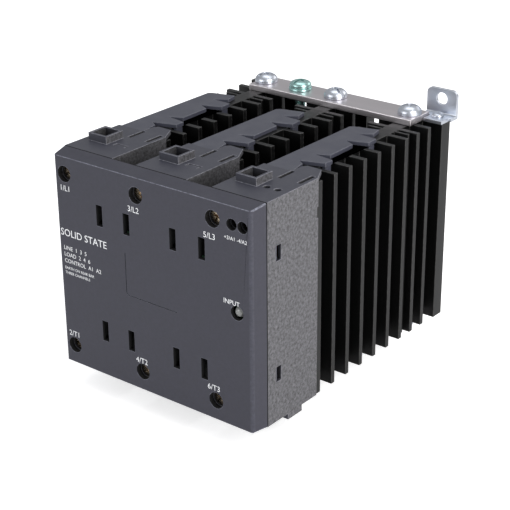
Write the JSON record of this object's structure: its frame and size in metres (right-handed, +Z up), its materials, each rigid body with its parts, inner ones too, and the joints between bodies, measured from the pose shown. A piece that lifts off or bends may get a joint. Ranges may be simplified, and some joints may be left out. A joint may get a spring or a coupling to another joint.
{
  "type": "solid state relay",
  "caption": "Rail-mounted solid state relay: moulded terminal housings behind a flat cover, finned black heat sinks, tie bars, earth screw, mounting brackets and a sprung rail clip.",
  "frame": {"origin": "on the seat of the rail clip, at the middle of the width and on the centre line of the rail", "axes": "+X to the right seen from the front, +Y from the front cover towards the rail, +Z up"},
  "size_m": [0.1156, 0.154, 0.124],
  "materials": {
    "cover_plastic": "fine moulded grain",
    "housing_plastic": "spark eroded grain",
    "strip_plastic": "smooth moulded",
    "black_anodised": "black anodised extrusion",
    "bare_aluminium": "rolled strip",
    "zinc_steel": "blue zinc plated",
    "green_steel": "green passivated",
    "nickel_brass": "worn nickel on brass",
    "clamp_steel": "zinc plated",
    "copper": "bare copper",
    "ceramic_white": "alumina",
    "silicon": "metallised die",
    "varistor_blue": "epoxy coating",
    "board_green": "solder mask",
    "black_epoxy": "moulded epoxy",
    "lamp_lens": "water clear lens",
    "spring_steel": "spring wire"
  },
  "bodies": {
    "relay": {"front_cover": "cover_plastic", "housing_1": "housing_plastic", "housing_2": "housing_plastic", "housing_3": "housing_plastic", "heat_sink_1": "black_anodised", "heat_sink_2": "black_anodised", "heat_sink_3": "black_anodised", "top_strip_1": "strip_plastic", "top_strip_2": "strip_plastic", "top_strip_3": "strip_plastic", "bottom_strip_1": "strip_plastic", "bottom_strip_2": "strip_plastic", "bottom_strip_3": "strip_plastic", "control_pins": "nickel_brass", "line_busbar_1": "copper", "line_busbar_2": "copper", "line_busbar_3": "copper", "load_busbar_1": "copper", "load_busbar_2": "copper", "load_busbar_3": "copper", "module_base_1": "copper", "module_base_2": "copper", "module_base_3": "copper", "ceramic_plates": "ceramic_white", "thyristor_dies": "silicon", "varistors": "varistor_blue", "control_board": "board_green", "optocouplers": "black_epoxy", "indicator_lamp": "lamp_lens", "housing_screws": "zinc_steel", "top_tie_bar": "bare_aluminium", "bottom_tie_bar": "bare_aluminium", "bar_screws": "zinc_steel", "top_bracket": "zinc_steel", "bottom_bracket": "zinc_steel", "bracket_screws": "zinc_steel", "rail_carrier": "zinc_steel", "latch_spring": "spring_steel", "carrier_screws": "zinc_steel"},
    "line_screw_1": {"line_screw_1": "nickel_brass"},
    "line_screw_2": {"line_screw_2": "nickel_brass"},
    "line_screw_3": {"line_screw_3": "nickel_brass"},
    "line_clamp_1": {"line_clamp_1": "clamp_steel"},
    "line_clamp_2": {"line_clamp_2": "clamp_steel"},
    "line_clamp_3": {"line_clamp_3": "clamp_steel"},
    "load_screw_1": {"load_screw_1": "nickel_brass"},
    "load_screw_2": {"load_screw_2": "nickel_brass"},
    "load_screw_3": {"load_screw_3": "nickel_brass"},
    "load_clamp_1": {"load_clamp_1": "clamp_steel"},
    "load_clamp_2": {"load_clamp_2": "clamp_steel"},
    "load_clamp_3": {"load_clamp_3": "clamp_steel"},
    "control_screw_1": {"control_screw_1": "nickel_brass"},
    "control_screw_2": {"control_screw_2": "nickel_brass"},
    "control_clamp_1": {"control_clamp_1": "clamp_steel"},
    "control_clamp_2": {"control_clamp_2": "clamp_steel"},
    "earth_screw": {"earth_screw": "green_steel"},
    "earth_washer": {"earth_washer": "green_steel"},
    "rail_latch": {"rail_latch": "zinc_steel"}
  },
  "joints": [
    {"name": "line_1_grip", "type": "slide", "parent": "relay", "child": "line_clamp_1", "axis": [0, -1, 0], "range_m": [0, 0.0064]},
    {"name": "line_1_turn", "type": "hinge", "parent": "relay", "child": "line_screw_1", "pos_m": [-0.0478, -0.1455, 0.042], "axis": [0, 1, 0], "range_deg": [0, 2880]},
    {"name": "line_2_grip", "type": "slide", "parent": "relay", "child": "line_clamp_2", "axis": [0, -1, 0], "range_m": [0, 0.0064]},
    {"name": "line_2_turn", "type": "hinge", "parent": "relay", "child": "line_screw_2", "pos_m": [-0.0068, -0.1455, 0.042], "axis": [0, 1, 0], "range_deg": [0, 2880]},
    {"name": "line_3_grip", "type": "slide", "parent": "relay", "child": "line_clamp_3", "axis": [0, -1, 0], "range_m": [0, 0.0064]},
    {"name": "line_3_turn", "type": "hinge", "parent": "relay", "child": "line_screw_3", "pos_m": [0.0342, -0.1455, 0.042], "axis": [0, 1, 0], "range_deg": [0, 2880]},
    {"name": "load_1_grip", "type": "slide", "parent": "relay", "child": "load_clamp_1", "axis": [0, -1, 0], "range_m": [0, 0.0064]},
    {"name": "load_1_turn", "type": "hinge", "parent": "relay", "child": "load_screw_1", "pos_m": [-0.0478, -0.1455, -0.0396], "axis": [0, 1, 0], "range_deg": [0, 2880]},
    {"name": "load_2_grip", "type": "slide", "parent": "relay", "child": "load_clamp_2", "axis": [0, -1, 0], "range_m": [0, 0.0064]},
    {"name": "load_2_turn", "type": "hinge", "parent": "relay", "child": "load_screw_2", "pos_m": [-0.0068, -0.1455, -0.0396], "axis": [0, 1, 0], "range_deg": [0, 2880]},
    {"name": "load_3_grip", "type": "slide", "parent": "relay", "child": "load_clamp_3", "axis": [0, -1, 0], "range_m": [0, 0.0064]},
    {"name": "load_3_turn", "type": "hinge", "parent": "relay", "child": "load_screw_3", "pos_m": [0.0342, -0.1455, -0.0396], "axis": [0, 1, 0], "range_deg": [0, 2880]},
    {"name": "control_1_grip", "type": "slide", "parent": "relay", "child": "control_clamp_1", "axis": [0, -1, 0], "range_m": [0, 0.0027]},
    {"name": "control_1_turn", "type": "hinge", "parent": "relay", "child": "control_screw_1", "pos_m": [0.0439, -0.1465, 0.042], "axis": [0, 1, 0], "range_deg": [0, 2160]},
    {"name": "control_2_grip", "type": "slide", "parent": "relay", "child": "control_clamp_2", "axis": [0, -1, 0], "range_m": [0, 0.0027]},
    {"name": "control_2_turn", "type": "hinge", "parent": "relay", "child": "control_screw_2", "pos_m": [0.0494, -0.1465, 0.042], "axis": [0, 1, 0], "range_deg": [0, 2160]},
    {"name": "earth_lift", "type": "slide", "parent": "relay", "child": "earth_washer", "axis": [0, 0, 1], "range_m": [0, 0.0024]},
    {"name": "earth_turn", "type": "hinge", "parent": "earth_washer", "child": "earth_screw", "pos_m": [-0.0205, -0.0195, 0.0519], "axis": [0, 0, 1], "range_deg": [0, 1080]},
    {"name": "rail_latch_pull", "type": "slide", "parent": "relay", "child": "rail_latch", "axis": [0, 0, -1], "range_m": [0, 0.004], "stiffness_N_per_m": 1500, "springref_m": -0.004, "deforming": ["latch_spring"]}
  ],
  "couplings": [
    {"joint": "line_1_turn", "follows": "line_1_grip", "rad_per_m": 7853.9},
    {"joint": "line_2_turn", "follows": "line_2_grip", "rad_per_m": 7853.9},
    {"joint": "line_3_turn", "follows": "line_3_grip", "rad_per_m": 7853.9},
    {"joint": "load_1_turn", "follows": "load_1_grip", "rad_per_m": 7853.9},
    {"joint": "load_2_turn", "follows": "load_2_grip", "rad_per_m": 7853.9},
    {"joint": "load_3_turn", "follows": "load_3_grip", "rad_per_m": 7853.9},
    {"joint": "control_1_turn", "follows": "control_1_grip", "rad_per_m": 13963},
    {"joint": "control_2_turn", "follows": "control_2_grip", "rad_per_m": 13963},
    {"joint": "earth_turn", "follows": "earth_lift", "rad_per_m": 7853.9}
  ]
}
